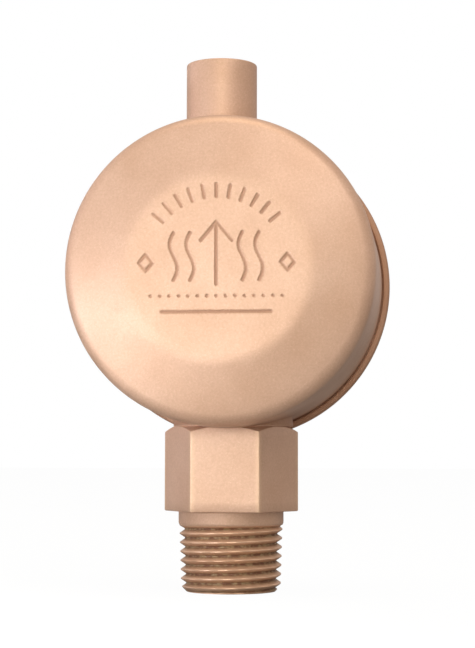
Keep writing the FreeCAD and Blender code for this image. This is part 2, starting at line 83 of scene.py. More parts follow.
DRUM_Z = (cover_low[2] + cover_high[2]) / 2
FLANGE_RADIUS = (shell_high[0] - shell_low[0]) / 2
FLANGE_WIDTH = 1.1
SHELL_RADIUS = FLANGE_RADIUS - FLANGE_WIDTH
SHELL_WALL = 0.9
SHELL_INSIDE = SHELL_RADIUS - SHELL_WALL
FACE_Y = shell_low[1]
BOSS_HEIGHT = 3.3
COVER_RADIUS = (cover_high[0] - cover_low[0]) / 2
COVER_WALL = 0.7
TUBE_X = (tube_low[0] + tube_high[0]) / 2
TUBE_RADIUS = (tube_high[0] - tube_low[0]) / 2
HEX_RADIUS = nipple_high[1]
HEX_SADDLE = 0.4
HEX_TOP = DRUM_Z - SHELL_RADIUS + HEX_SADDLE
HEX_BOTTOM = 16.2
print(f"drum centre {DRUM_Z:.2f}, radius {SHELL_RADIUS:.2f}")
print(f"face at {FACE_Y:.2f}, tube at x {TUBE_X:.2f}")


# %% [markdown]
# ## Two helpers for turned and drawn metal
#
# Everything on the outside of this vent was turned on a lathe, drawn from a disc or cut from bar. All three
# give a cross-section that is carried round an axis, so one helper rounds the corners of an outline and
# another one joins rows of points into a closed skin. A Screw modifier could turn an outline as well, but
# rows of points also take shapes that change on the way round, such as a hexagon, or a tube's foot that
# follows the drum.

# %% Rounded outlines
def rounded(corners, steps=6):
    """A line through (a, b, radius) corners, with an arc of that radius at each inner corner."""
    line = [np.array(corners[0][:2], float)]
    for before, here, after in zip(corners, corners[1:], corners[2:]):
        p = np.array(here[:2], float)
        u = np.array(before[:2], float) - p
        v = np.array(after[:2], float) - p
        u /= np.linalg.norm(u)
        v /= np.linalg.norm(v)
        half = math.acos(np.clip(u @ v, -1, 1)) / 2
        radius = here[2]
        if radius <= 0 or math.pi / 2 - half < 1e-4:
            line.append(p)
            continue
        middle = (u + v) / np.linalg.norm(u + v)
        centre = p + middle * radius / math.sin(half)
        start = p + u * radius / math.tan(half) - centre
        end = p + v * radius / math.tan(half) - centre
        turn = math.pi - 2 * half
        for k in range(steps + 1):
            t = k / steps
            point = (math.sin((1 - t) * turn) * start + math.sin(t * turn) * end) / math.sin(turn)
            line.append(centre + point)
    line.append(np.array(corners[-1][:2], float))
    return np.array(line)


def filled(line, longest):
    """The same line with points added, so that no stretch is longer than asked."""
    points = [line[0]]
    for a, b in zip(line, line[1:]):
        count = max(1, math.ceil(np.linalg.norm(b - a) / longest))
        points += [a + (b - a) * k / count for k in range(1, count + 1)]
    return np.array(points)


# %% Closed skins from rows of points
def skin(name, rows, ring=False, first_pole=False, last_pole=False, crease=40):
    """Joins rows of points, an array of (row, point, xyz) in millimetres, into one closed skin."""
    count, around, _ = rows.shape
    vertices = rows.reshape(-1, 3) * MM
    here = np.arange(around)
    there = np.roll(here, -1)
    faces = []
    for row in range(count if ring else count - 1):
        a = row * around
        b = (row + 1) % count * around
        faces += np.stack([a + here, a + there, b + there, b + here], axis=1).tolist()
    if first_pole:
        faces.append(here[::-1].tolist())
    if last_pole:
        faces.append(((count - 1) * around + here).tolist())
    mesh = bpy.data.meshes.new(name)
    mesh.from_pydata(vertices.tolist(), [], faces)
    return finish_mesh(name, mesh, crease)


def finish_mesh(name, mesh, crease=40):
    """Merges doubles, closes the poles with fans, turns the faces outwards and shades them."""
    work = bmesh.new()
    work.from_mesh(mesh)
    bmesh.ops.remove_doubles(work, verts=work.verts, dist=1e-7)
    big = [face for face in work.faces if len(face.verts) > 4]
    if big:
        bmesh.ops.poke(work, faces=big)
    bmesh.ops.recalc_face_normals(work, faces=work.faces)
    work.to_mesh(mesh)
    work.free()
    mesh.shade_smooth()
    mesh.set_sharp_from_angle(angle=math.radians(crease))
    piece = bpy.data.objects.new(name, mesh)
    scene.collection.objects.link(piece)
    open_edges = count_open_edges(mesh)
    print(f"{name}: {len(mesh.polygons)} faces, {open_edges} open edges")
    return piece


def count_open_edges(mesh):
    work = bmesh.new()
    work.from_mesh(mesh)
    found = sum(not edge.is_manifold for edge in work.edges)
    work.free()
    return found


def plain_mesh(piece):
    """The mesh that a piece's modifiers give."""
    return bpy.data.meshes.new_from_object(piece.evaluated_get(bpy.context.evaluated_depsgraph_get()))


def turned(line, angles, axis="z", centre=(0.0, 0.0, 0.0)):
    """Carries a line of (radius, along) points round an axis and gives rows of points."""
    radius = line[:, 0, None]
    along = np.broadcast_to(line[:, 1, None], (len(line), len(angles)))
    cos = radius * np.cos(angles)
    sin = radius * np.sin(angles)
    order = {"z": (cos, sin, along), "y": (cos, along, sin)}[axis]
    return np.stack(order, axis=2) + np.array(centre)


def evenly(count):
    return np.arange(count) * 2 * math.pi / count


# %% [markdown]
# ## The stamped mark
#
# The makers of such vents strike a few marks into the flat of the drum's face. Here they are plain signs: an
# arrow that says which way is up, between pairs of rising wisps and two diamonds, under an arc of ticks and
# over a row of punched dots and a base line.
#
# A bump map would give the shading but no shape, so the marks go into the mesh. Each one is a line of
# points, the distance from a point of the face to the nearest line says how deep the punch went, and the
# metal that was pushed aside stands up as a low lip beside the groove.

# %% Marks and their depth
STROKE_WIDTH = 0.64
STROKE_DEPTH = 0.22
LIP_HEIGHT = 0.04


def wisp(x, low=-2.6, high=6.6, sway=0.75):
    """A rising line that sways once to each side."""
    t = np.linspace(0, 1, 15)
    return np.stack([x + sway * np.sin(t * 2 * math.pi), low + (high - low) * t], axis=1)


def tick(degrees, near=13.4, far=15.9):
    """A short stroke on an arc, this many degrees from the top."""
    way = np.array([math.sin(math.radians(degrees)), math.cos(math.radians(degrees))])
    return np.array([near * way, far * way])


def diamond(x, z, across=1.3, up=1.6):
    return np.array([(x - across, z), (x, z + up), (x + across, z), (x, z - up), (x - across, z)])


def dot(x, z):
    return np.array([(x, z), (x + 0.05, z)])


MARKS = [np.array([(0, -3.4), (0, 8.6)]), np.array([(-3.0, 5.0), (0, 8.6), (3.0, 5.0)])]
MARKS += [wisp(x) for x in (-8.2, -5.0, 5.0, 8.2)]
MARKS += [tick(degrees) for degrees in range(-50, 51, 10)]
MARKS += [diamond(x, 0.8) for x in (-13.6, 13.6)]
MARKS += [dot(x, -5.6) for x in np.linspace(-12.6, 12.6, 15)]
MARKS += [np.array([(-10.5, -8.6), (10.5, -8.6)])]


def mark_distance(x, z):
    """Distance from each point of the face to the nearest stroke."""
    nearest = np.full(x.shape, 99.0)
    for stroke in MARKS:
        for (ax, az), (bx, bz) in zip(stroke, stroke[1:]):
            length = (bx - ax) ** 2 + (bz - az) ** 2
            t = np.clip(((x - ax) * (bx - ax) + (z - az) * (bz - az)) / length, 0, 1)
            nearest = np.minimum(nearest, np.hypot(x - ax - t * (bx - ax), z - az - t * (bz - az)))
    return nearest


def mark_depth(x, z):
    """How far the face is pushed back: a rounded groove with a low lip."""
    away = mark_distance(x, z) / (STROKE_WIDTH / 2)
    groove = STROKE_DEPTH * np.clip(1 - away ** 2, 0, 1) ** 0.7
    lip = LIP_HEIGHT * np.exp(-((away - 1.35) / 0.3) ** 2)
    return groove - lip


# %% [markdown]
# ## The front shell
#
# The shell is a drawn cup. Its outline is the same all round, so it is turned about the drum's axis, and the
# rows are close together on the flat, where the marks are. The wall is a second outline inside the first.
# The holes for the nipple and the tube are cut afterwards with a Boolean, as a punch would cut them.

# %% Shell outline
FLANGE_REAR = shell_high[1]
FLANGE_FRONT = FLANGE_REAR - SHELL_WALL
RIM_Y = FACE_Y + BOSS_HEIGHT
BOSS_RADIUS = 18.0
MARK_REACH = 16.4
DRAFT = 0.3

shell_outside = rounded([
    (0.0, FACE_Y, 0), (BOSS_RADIUS, FACE_Y, 12.0), (SHELL_RADIUS - 0.15, RIM_Y, 3.2),
    (SHELL_RADIUS + DRAFT, FLANGE_FRONT, 0.3), (FLANGE_RADIUS, FLANGE_FRONT, 0.15),
    (FLANGE_RADIUS, FLANGE_REAR, 0.15), (SHELL_INSIDE, FLANGE_REAR, 0.6),
    (SHELL_INSIDE, RIM_Y + SHELL_WALL, 2.3), (BOSS_RADIUS, FACE_Y + SHELL_WALL, 11.0),
    (0.0, FACE_Y + SHELL_WALL, 0),
], steps=7)
shell_line = filled(shell_outside, 3.5)
fine = np.arange(0.05, MARK_REACH, 0.2)
coarse = shell_line[shell_line[:, 0] > MARK_REACH]
inner_flat = np.array([(radius, FACE_Y + SHELL_WALL) for radius in (MARK_REACH, 6.0, 0.4)])
shell_line = np.concatenate([np.stack([fine, np.full(len(fine), FACE_Y)], axis=1), coarse, inner_flat])

# %% Shell mesh
rows = turned(shell_line, evenly(480), axis="y", centre=(0.0, 0.0, DRUM_Z))
face = rows[:len(fine)]
face[..., 1] += mark_depth(face[..., 0], face[..., 2] - DRUM_Z)
shell = skin("shell_front", rows, first_pole=True, last_pole=True)


def punch(piece, radius, x, low, high):
    """Cuts a round upright hole through a piece."""
    line = np.array([(radius, low), (radius, high)])
    cutter = skin("punch", turned(line, evenly(96), centre=(x, 0.0, 0.0)),
                  first_pole=True, last_pole=True)
    cut = piece.modifiers.new("hole", "BOOLEAN")
    cut.operation = "DIFFERENCE"
    cut.solver = "EXACT"
    cut.object = cutter
    result = plain_mesh(piece)
    piece.modifiers.remove(cut)
    piece.data = result
    bpy.data.objects.remove(cutter)


SPIGOT_RADIUS = 8.4
TUBE_SPIGOT_RADIUS = TUBE_RADIUS - 1.2
HOLE_GAP = 0.05
punch(shell, SPIGOT_RADIUS + HOLE_GAP, 0.0, DRUM_Z - 40, DRUM_Z - 10)
punch(shell, TUBE_SPIGOT_RADIUS + HOLE_GAP, TUBE_X, DRUM_Z + 10, DRUM_Z + 40)
print(f"after punching: {len(shell.data.polygons)} faces, {count_open_edges(shell.data)} open edges")

# %% [markdown]
# ## The rear cover
#
# The cover is a shallow dish whose edge is rolled round the shell's flange and pressed back over its front.
# A thin dark gap stays open between the rolled lip and the drum's side. It is one closed outline, turned.

# %% Cover
DISH_DEPTH = 5.0
COVER_BACK = cover_high[1] - DISH_DEPTH
LIP_FRONT = cover_low[1]
LIP_REAR = LIP_FRONT + COVER_WALL
LIP_RADIUS = SHELL_RADIUS + 0.6
cover_line = filled(rounded([
    (0.3, cover_high[1], 0), (23.4, cover_high[1], 2.4), (27.8, COVER_BACK, 2.4),
    (COVER_RADIUS, COVER_BACK, 1.05), (COVER_RADIUS, LIP_FRONT, 0.55), (LIP_RADIUS, LIP_FRONT, 0.2),
    (LIP_RADIUS, LIP_REAR, 0.1), (COVER_RADIUS - COVER_WALL, LIP_REAR, 0.1),
    (COVER_RADIUS - COVER_WALL, COVER_BACK - COVER_WALL, 0.35),
    (27.5, COVER_BACK - COVER_WALL, 3.0), (23.1, cover_high[1] - COVER_WALL, 1.8),
    (0.3, cover_high[1] - COVER_WALL, 0),
], steps=8), 2.5)
cover = skin("cover_rear", turned(cover_line, evenly(288), axis="y", centre=(0.0, 0.0, DRUM_Z)),
             first_pole=True, last_pole=True)

# %% [markdown]
# ## Sockets that can be added and multiplied
#
# Both the thread's shape and the finishes are sums and products of node sockets. Written out node by node
# they are hard to read, so a socket is wrapped in a small class: an expression on it adds the Math nodes.
# Every other kind of node comes from one method, which sets the node's settings first and then its sockets.

# %% Node helpers
class Wire:
    """A socket of a tree. An operator on it adds a Math node and gives that node's result."""

    def __init__(self, tree, socket):
        self.tree = tree
        self.socket = socket

    def output(self, name):
        return Wire(self.tree, self.socket.node.outputs[name])

    def maths(self, operation, *values):
        return self.tree.node("ShaderNodeMath", {"operation": operation}, dict(enumerate(values)))

    def __add__(self, other):
        return self.maths("ADD", self, other)

    def __sub__(self, other):
        return self.maths("SUBTRACT", self, other)

    def __mul__(self, other):
        return self.maths("MULTIPLY", self, other)

    def __truediv__(self, other):
        return self.maths("DIVIDE", self, other)

    def __pow__(self, other):
        return self.maths("POWER", self, other)

    def __rsub__(self, other):
        return self.maths("SUBTRACT", other, self)

    def __rtruediv__(self, other):
        return self.maths("DIVIDE", other, self)

    __radd__ = __add__
    __rmul__ = __mul__

    def clamped(self):
        return self.maths("MINIMUM", self.maths("MAXIMUM", self, 0.0), 1.0)


class Tree:
    """A node tree that is being built."""

    def __init__(self, tree):
        self.tree = tree

    def node(self, kind, settings=None, sockets=None, out=0):
        made = self.tree.nodes.new(kind)
        for name, value in (settings or {}).items():
            if name == "stops":
                set_stops(made.color_ramp, value)
            else:
                setattr(made, name, value)
        for place, value in (sockets or {}).items():
            if isinstance(value, Wire):
                self.tree.links.new(value.socket, made.inputs[place])
            else:
                made.inputs[place].default_value = value
        return Wire(self, made.outputs[out]) if len(made.outputs) else None


def set_stops(ramp, stops):
    while len(ramp.elements) < len(stops):
        ramp.elements.new(1.0)
    for element, (position, colour) in zip(ramp.elements, stops):
        element.position = position
        element.color = colour


# %% [markdown]
# ## The pipe thread
#
# A tapered pipe thread is one groove that climbs round a slightly conical end. A lathe cuts it in passes. In
# Blender it could be an Array of one turn or a Screw modifier, but neither tapers, nor fades out at its two
# ends. The shape follows a rule, so a Geometry Nodes tree bends a flat grid into it: across the grid is the
# way round, up the grid is the height, and the radius at each point comes from the groove's phase there.

# %% Thread tree
THREAD = {
    "Pitch": 25.4 / 14, "Root": 9.05, "Depth": 1.05, "Taper": 1 / 32,
    "Length": 13.45, "Runout": 0.5, "Start": 0.1,
}
AROUND = 384
ALONG = 120


def thread_tree():
    """Builds the tree that bends a grid into a tapered thread."""
    group = bpy.data.node_groups.new("pipe thread", "GeometryNodeTree")
    group.interface.new_socket("Geometry", in_out="OUTPUT", socket_type="NodeSocketGeometry")
    for name in THREAD:
        group.interface.new_socket(name, in_out="INPUT", socket_type="NodeSocketFloat")
    for name in ("Around", "Along"):
        group.interface.new_socket(name, in_out="INPUT", socket_type="NodeSocketInt")
    group.interface.new_socket("Finish", in_out="INPUT", socket_type="NodeSocketMaterial")
    tree = Tree(group)
    given = tree.node("NodeGroupInput")
    pitch, root, depth, taper, length, runout, start = [given.output(name) for name in THREAD]
    grid = tree.node("GeometryNodeMeshGrid", None, {
        "Size X": 1.0, "Size Y": 1.0, "Vertices X": given.output("Around") + 1,
        "Vertices Y": given.output("Along") + 1})
    place = tree.node("ShaderNodeSeparateXYZ", None, {0: tree.node("GeometryNodeInputPosition")})
    turn = place + 0.5
    height = (place.output("Y") + 0.5) * length
    phase = height / pitch - turn + start
    phase = phase.maths("FRACT", phase)
    ridge = phase.maths("ABSOLUTE", phase * 2.0 - 1.0)
    flank = ((ridge - 0.1) / 0.78).clamped()
    fade = ((length - height) / runout).clamped()
    crest = root + depth + taper * height
    radius = crest - depth * (1.0 - flank) * fade
    radius = radius.maths("MINIMUM", radius, root + height)
    angle = turn * (2 * math.pi)
    bent = tree.node("ShaderNodeCombineXYZ", None, {
        0: radius * angle.maths("COSINE", angle) * MM,
        1: radius * angle.maths("SINE", angle) * MM,
        2: height * MM})
    moved = tree.node("GeometryNodeSetPosition", None, {"Geometry": grid, "Position": bent})
    closed = tree.node("GeometryNodeMergeByDistance", None, {"Geometry": moved, "Distance": 1e-7})
    real = tree.node("GeometryNodeRealizeInstances", None, {"Geometry": closed})
    dressed = tree.node("GeometryNodeSetMaterial", None, {
        "Geometry": real, "Material": given.output("Finish")})
    tree.node("NodeGroupOutput", None, {"Geometry": dressed})
    return group


def grown(name, group, values):
    """Runs a tree with these inputs and gives its result as a plain mesh."""
    seed = bpy.data.objects.new(name, bpy.data.meshes.new(name))
    scene.collection.objects.link(seed)
    nodes = seed.modifiers.new("tree", "NODES")
    nodes.node_group = group
    for item in group.interface.items_tree:
        if item.in_out == "INPUT":
            nodes[item.identifier] = values[item.name]
    mesh = plain_mesh(seed)
    seed.modifiers.remove(nodes)
    bpy.data.objects.remove(seed)
    return mesh


nipple_finish = bpy.data.materials.new("nipple_paint")
thread = grown("thread", thread_tree(), {
    **THREAD, "Around": AROUND, "Along": ALONG, "Finish": nipple_finish})
print(f"thread: {len(thread.vertices)} points, {THREAD['Length'] / THREAD['Pitch']:.1f} turns")

# %% [markdown]
# ## The nipple
#
# The nipple is one brass turning: the thread, a plain collar, a hexagon for the wrench, and a neck that is
# brazed to the drum. Each row of points is a cross-section. Round rows are circles, the hexagon's rows have
# small rounded corners, and two rows aren't level: the one where the top bevel meets the flats, which gives
# the bevel's curved edge, and the one where the neck's foot follows the round of the drum.

# %% Nipple rows
HEX_EDGE = 0.35
HEX_CORNER = HEX_RADIUS / math.cos(math.radians(30))
BEVEL_SLOPE = 0.61
COLLAR_RADIUS = 10.7
NECK_RADIUS = 11.6
BORE_RADIUS = 6.5
BORE_TOP = 26.0
SOCKET_RADIUS = 7.0
THREAD_TOP = THREAD["Length"]
CREST_TOP = THREAD["Root"] + THREAD["Depth"] + THREAD["Taper"] * THREAD_TOP
ROUND = evenly(AROUND)


def hexagon_rim(count):
    """Points round a hexagon with rounded corners, the first one on +X."""
    arc = 10
    straight = count // 6 - arc
    points = []
    for side in range(6):
        way = side * math.pi / 3
        inset = HEX_CORNER - HEX_EDGE / math.cos(math.radians(30))
        centre = inset * np.array([math.cos(way), math.sin(way)])
        turn = way + np.linspace(-math.pi / 6, math.pi / 6, arc + 1)
        points += list(centre + HEX_EDGE * np.stack([np.cos(turn), np.sin(turn)], axis=1))
        after = way + math.pi / 3
        end = inset * np.array([math.cos(after), math.sin(after)])
        end = end + HEX_EDGE * np.array([math.cos(after - math.pi / 6), math.sin(after - math.pi / 6)])
        start = points[-1]
        points += [start + (end - start) * k / straight for k in range(1, straight)]
    points = np.array(points)
    return np.roll(points, -(arc // 2), axis=0)


def level(radius, height, turn=ROUND):
    """A round row at one height."""
    return np.stack([radius * np.cos(turn), radius * np.sin(turn), np.full(len(turn), height)], axis=1)


def drum_surface(x, top=False):
    """Height of the drum's round side over a point at x."""
    rise = np.sqrt(SHELL_RADIUS ** 2 - x ** 2)
    return DRUM_Z + rise if top else DRUM_Z - rise


def on_drum(radius, away, centre_x=0.0, top=False, turn=ROUND):
    """A round row that stays this far from the drum's side."""
    x = centre_x + radius * np.cos(turn)
    height = drum_surface(x, top) + (away if top else -away)
    return np.stack([x, radius * np.sin(turn), height], axis=1)


def under_drum(radius, height):
    """A round row at one height, except where the drum's side is already lower."""
    row = level(radius, height)
    row[:, 2] = np.minimum(row[:, 2], drum_surface(row[:, 0]) + 0.1)
    return row


hexagon = hexagon_rim(AROUND)
spread = np.hypot(hexagon[:, 0], hexagon[:, 1])
bevel_height = HEX_TOP - (spread - HEX_RADIUS) * BEVEL_SLOPE


def shrunk(inset):
    """The hexagon drawn in by this much all round."""
    return hexagon * ((spread - inset) / spread)[:, None]


def prism(outline, height):
    """A hexagonal row, with one height or a height for each point."""
    return np.column_stack([outline, np.broadcast_to(height, AROUND)])


def bead(amount):
    """Neck radius with a braze bead, fuller on the right and a little uneven."""
    lumps = 0.09 * np.sin(5 * ROUND + 0.7) + 0.06 * np.sin(11 * ROUND + 2.0)
    right = np.exp(-(np.minimum(ROUND, 2 * math.pi - ROUND) / 0.7) ** 2)
    return NECK_RADIUS + amount * (0.25 + lumps + 0.75 * right)


flat_low = HEX_BOTTOM + 0.25
flat_high = bevel_height - 0.12
collar_rows = [
    level(CREST_TOP, THREAD_TOP), level(COLLAR_RADIUS - 0.05, THREAD_TOP + 0.3),
    level(COLLAR_RADIUS, THREAD_TOP + 0.45), level(COLLAR_RADIUS, HEX_BOTTOM - 0.25),
    level(COLLAR_RADIUS + 0.08, HEX_BOTTOM - 0.07), level(COLLAR_RADIUS + 0.25, HEX_BOTTOM),
]
hexagon_rows = [
    prism(shrunk(0.25), HEX_BOTTOM), prism(shrunk(0.07), HEX_BOTTOM + 0.07), prism(hexagon, flat_low),
] + [prism(hexagon, flat_low + (flat_high - flat_low) * k / 8) for k in range(1, 9)] + [
    prism(shrunk(0.03), bevel_height - 0.02), prism(shrunk(0.12), bevel_height + 0.08),
]
neck_rows = [
    under_drum(HEX_RADIUS - 0.03, HEX_TOP), under_drum(bead(0.9), HEX_TOP + 0.03),
    under_drum(bead(1.0), HEX_TOP + 0.35), on_drum(bead(0.85), 0.5), on_drum(bead(0.9), 0.22),
    on_drum(bead(1.15), 0.03), on_drum(bead(1.25), -0.1), on_drum(SPIGOT_RADIUS, -0.1),
]
inside_rows = [
    level(SPIGOT_RADIUS, nipple_high[2]), level(SOCKET_RADIUS, nipple_high[2]),
    level(SOCKET_RADIUS, BORE_TOP), level(BORE_RADIUS, BORE_TOP),
    level(BORE_RADIUS, 12.0), level(BORE_RADIUS, 0.3), level(BORE_RADIUS + 0.3, 0.0),
    level(THREAD["Root"], 0.0),
]
nipple_rows = collar_rows + hexagon_rows + neck_rows + inside_rows
body = skin("nipple_body", np.array(nipple_rows))

# %% Nipple mesh
whole = bmesh.new()
whole.from_mesh(body.data)
whole.from_mesh(thread)
bmesh.ops.remove_doubles(whole, verts=whole.verts, dist=2e-7)
joined = bpy.data.meshes.new("nipple_threaded")
whole.to_mesh(joined)
whole.free()
bpy.data.objects.remove(body)
nipple = finish_mesh("nipple_threaded", joined, crease=35)

# %% [markdown]
# ## The outlet tube
#
# The tube is turned from bar as well. Its foot is saddled to the drum with a small braze fillet, its top edge
# is broken slightly, and the bore steps down twice towards the valve seat, which is screwed in from above.

# %% Tube
TUBE_TOP = tube_high[2]
PORT_RADIUS, PORT_DEPTH = 4.6, 6.7
COUNTERBORE_RADIUS, COUNTERBORE_DEPTH = 4.3, 9.1
VALVE_BORE = 3.55
TUBE_EDGE = 0.35
TUBE_ROUND = evenly(192)


def tube_level(radius, height):
    return level(radius, height, TUBE_ROUND) + np.array([TUBE_X, 0, 0])


def tube_foot(radius, above):
    return on_drum(radius, above, centre_x=TUBE_X, top=True, turn=TUBE_ROUND)


foot_rows = [tube_foot(TUBE_SPIGOT_RADIUS, -0.1)] + [
    tube_foot(TUBE_RADIUS + wider, above)
    for wider, above in [(0.5, -0.1), (0.35, 0.04), (0.15, 0.2), (0.04, 0.45), (0.0, 0.8)]]
wall_rows = [tube_level(TUBE_RADIUS, z) for z in np.linspace(DRUM_Z + SHELL_RADIUS + 2, TUBE_TOP - 2, 6)]
edge_rows = [
    tube_level(TUBE_RADIUS - TUBE_EDGE * (1 - math.cos(t)), TUBE_TOP - TUBE_EDGE * (1 - math.sin(t)))
    for t in np.linspace(0, math.pi / 2, 7)]
bore_rows = [
    tube_level(PORT_RADIUS + 0.3, TUBE_TOP), tube_level(PORT_RADIUS, TUBE_TOP - 0.3),
    tube_level(PORT_RADIUS, TUBE_TOP - PORT_DEPTH), tube_level(COUNTERBORE_RADIUS, TUBE_TOP - PORT_DEPTH),
    tube_level(COUNTERBORE_RADIUS, TUBE_TOP - COUNTERBORE_DEPTH),
    tube_level(VALVE_BORE, TUBE_TOP - COUNTERBORE_DEPTH), tube_level(VALVE_BORE, tube_low[2]),
    tube_level(TUBE_SPIGOT_RADIUS, tube_low[2]),
]
tube = skin("tube_outlet", np.array(foot_rows + wall_rows + edge_rows + bore_rows), ring=True)

# %% [markdown]
# ## Finishes
#
# The outside is sprayed with a bronze paint: fine flakes in a satin binder, which gives a sandy grain, with
# broad soft changes of tone. Painted shade makes it redder and darker in the stamped marks, in the corner
# where the nipple meets the drum, and on the rolled lip, and a painted highlight makes the hexagon's corners
# lighter. The thread is bare brass, darker in its valleys with grime and painted shade, and the insides are
# bare metals, each with the marks of how it was made.
#
# An image could be wrapped round each piece instead, but a pattern made by nodes has no seams and stays
# sharp close up. All patterns stand on Object coordinates, so they stay put on the metal, and what a pattern
# can't know, such as how deep a groove is, is stored on the mesh as an attribute.

# %% Colour helpers
def colour(red, green, blue):
    """A display colour, 0 to 255, as the linear one that nodes need."""
    shares = [value / 255 for value in (red, green, blue)]
    return tuple([v / 12.92 if v <= 0.04045 else ((v + 0.055) / 1.055) ** 2.4 for v in shares] + [1.0])


def blended(tree, share, first, second, blend="MIX"):
    return tree.node("ShaderNodeMix", {"data_type": "RGBA", "blend_type": blend},
                     {0: share, 6: first, 7: second}, out=2)


def ramp(tree, value, stops):
    """A grey ramp through (position, brightness) stops."""
    shades = [(at, (grey, grey, grey, 1.0)) for at, grey in stops]
    return tree.node("ShaderNodeValToRGB", {"stops": shades}, {0: value})


def noise(tree, place, scale, detail=2.0, roughness=0.5):
    return tree.node("ShaderNodeTexNoise", None, {
        "Vector": place, "Scale": scale, "Detail": detail, "Roughness": roughness})


def stretched(tree, place, scale):
    """Object coordinates with each axis scaled, for marks that run one way."""
    return tree.node("ShaderNodeMapping", None, {"Vector": place, "Scale": scale})


def start_finish(name):
    material = bpy.data.materials.get(name) or bpy.data.materials.new(name)
    material.use_nodes = True
    material.node_tree.nodes.clear()
    tree = Tree(material.node_tree)
    place = tree.node("ShaderNodeTexCoord").output("Object")
    return material, tree, place


def end_finish(tree, base, roughness, height, depth, **uniform):
    """Joins the pattern to a Principled shader; uniform values go on its own sockets."""
    bump = tree.node("ShaderNodeBump", None, {"Strength": 1.0, "Distance": depth, "Height": height})
    sockets = {"Base Color": base, "Roughness": roughness, "Normal": bump}
    sockets.update({name.replace("_", " "): value for name, value in uniform.items()})
    shader = tree.node("ShaderNodeBsdfPrincipled", None, sockets)
    tree.node("ShaderNodeOutputMaterial", None, {"Surface": shader})


# %% Bronze paint
def bronze_paint(name, bare=False):
    """Sprayed bronze. With bare, the attribute of that name uncovers the brass of the thread."""
    material, tree, place = start_finish(name)
    broad = noise(tree, place, 70.0, 3.0, 0.55)
    sand = noise(tree, place, 2400.0, 3.0, 0.65)
    soft = noise(tree, place, 500.0, 2.0, 0.5)
    flakes = tree.node("ShaderNodeTexVoronoi", None, {"Vector": place, "Scale": 5200.0}).output("Color")
    spark = tree.node("ShaderNodeSeparateColor", None, {0: flakes})
    pins = tree.node("ShaderNodeTexVoronoi", None, {"Vector": place, "Scale": 55.0, "Randomness": 1.0})
    pinhole = ramp(tree, pins, [(0.0, 1.0), (0.012, 1.0), (0.022, 0.0)])
    groove = tree.node("ShaderNodeAttribute", {"attribute_name": "groove"}).output("Fac")
    edge = tree.node("ShaderNodeAttribute", {"attribute_name": "edge"}).output("Fac")
    clouds = ramp(tree, broad, [(0.35, 0.0), (0.65, 1.0)])
    grains = ramp(tree, sand, [(0.3, 0.0), (0.7, 1.0)])
    tone = blended(tree, clouds, colour(217, 174, 144), colour(228, 187, 159))
    tone = blended(tree, grains * 0.30, tone, colour(184, 138, 104))
    tone = blended(tree, (spark - 0.86).clamped() * 1.0, tone, colour(255, 226, 196))
    # Painted shade: where the groove attribute is set, in the stamped marks, round the nipple's neck and on the
    # rolled lip, the paint is darker and redder.
    tone = blended(tree, groove * 0.55, tone, colour(150, 96, 58))
    # Painted highlight: the edge attribute lightens the hexagon's rounded corners.
    tone = blended(tree, edge * 0.35, tone, colour(247, 211, 170))
    tone = blended(tree, pinhole * 0.7, tone, colour(70, 44, 30))
    rough = 0.38 + sand * 0.16 + groove * 0.12
    height = sand * 0.7 + soft * 0.5 - pinhole * 1.5
    if bare:
        bare_metal = tree.node("ShaderNodeAttribute", {"attribute_name": "bare"}).output("Fac")
        rings = noise(tree, stretched(tree, place, (60.0, 60.0, 5200.0)), 1.0, 3.0, 0.6)
        dirt = noise(tree, place, 900.0, 3.0, 0.6)
        bright = ramp(tree, rings, [(0.3, 0.0), (0.7, 1.0)])
        pale = ramp(tree, dirt, [(0.46, 0.0), (0.58, 1.0)])
        brass = blended(tree, bright, colour(214, 166, 130), colour(240, 198, 164))
        # Thread valleys: grime with pale specks, and painted shade that deepens towards the root.
        grime_and_shade = blended(tree, pale, colour(112, 70, 42), colour(158, 134, 98))
        brass = blended(tree, (groove ** 1.3) * 0.92, brass, grime_and_shade)
        tone = blended(tree, bare_metal, tone, brass)
        rough = rough - bare_metal * 0.08
        height = height + rings * bare_metal * 0.4
    end_finish(tree, tone, rough, height, 0.00002, Metallic=0.4, Specular_IOR_Level=0.8)
    return material


# %% Bare metals
def turned_metal(name, light, dark, rough=0.3, centre_x=0.0, metallic=1.0):
    """Lathe marks: rings round an upright axis, on the sides and on the ends."""
    material, tree, place = start_finish(name)
    parts = tree.node("ShaderNodeSeparateXYZ", None, {0: place})
    x = parts - centre_x
    y = parts.output("Y")
    out = (x * x + y * y) ** 0.5
    along = tree.node("ShaderNodeCombineXYZ", None, {
        0: out * 5000.0, 1: 0.0, 2: parts.output("Z") * 5000.0})
    marks = noise(tree, along, 1.0, 2.0, 0.6)
    stain = noise(tree, place, 260.0, 4.0, 0.6)
    tone = blended(tree, ramp(tree, stain, [(0.35, 0.0), (0.7, 1.0)]), light, dark)
    tone = blended(tree, marks * 0.35, tone, dark)
    end_finish(tree, tone, rough + marks * 0.14 + stain * 0.1, marks, 0.000012, Metallic=metallic)
    return material


def drawn_metal(name, light, dark, rough=0.34):
    """Drawn or spun sheet: fine rings round the drum's own axis, with a faint annealing cloud."""
    material, tree, place = start_finish(name)
    parts = tree.node("ShaderNodeSeparateXYZ", None, {0: place})
    x = parts.output("X")
    z = parts.output("Z") - DRUM_Z * MM
    out = (x * x + z * z) ** 0.5
    rings = noise(tree, tree.node("ShaderNodeCombineXYZ", None, {
        0: out * 3200.0, 1: parts.output("Y") * 3200.0, 2: 0.0}), 1.0, 3.0, 0.6)
    cloud = noise(tree, place, 120.0, 4.0, 0.6)
    tone = blended(tree, ramp(tree, cloud, [(0.35, 0.0), (0.7, 1.0)]), light, dark)
    tone = blended(tree, rings * 0.3, tone, dark)
    end_finish(tree, tone, rough + rings * 0.12 + cloud * 0.1, rings, 0.00001, Metallic=1.0)
    return material


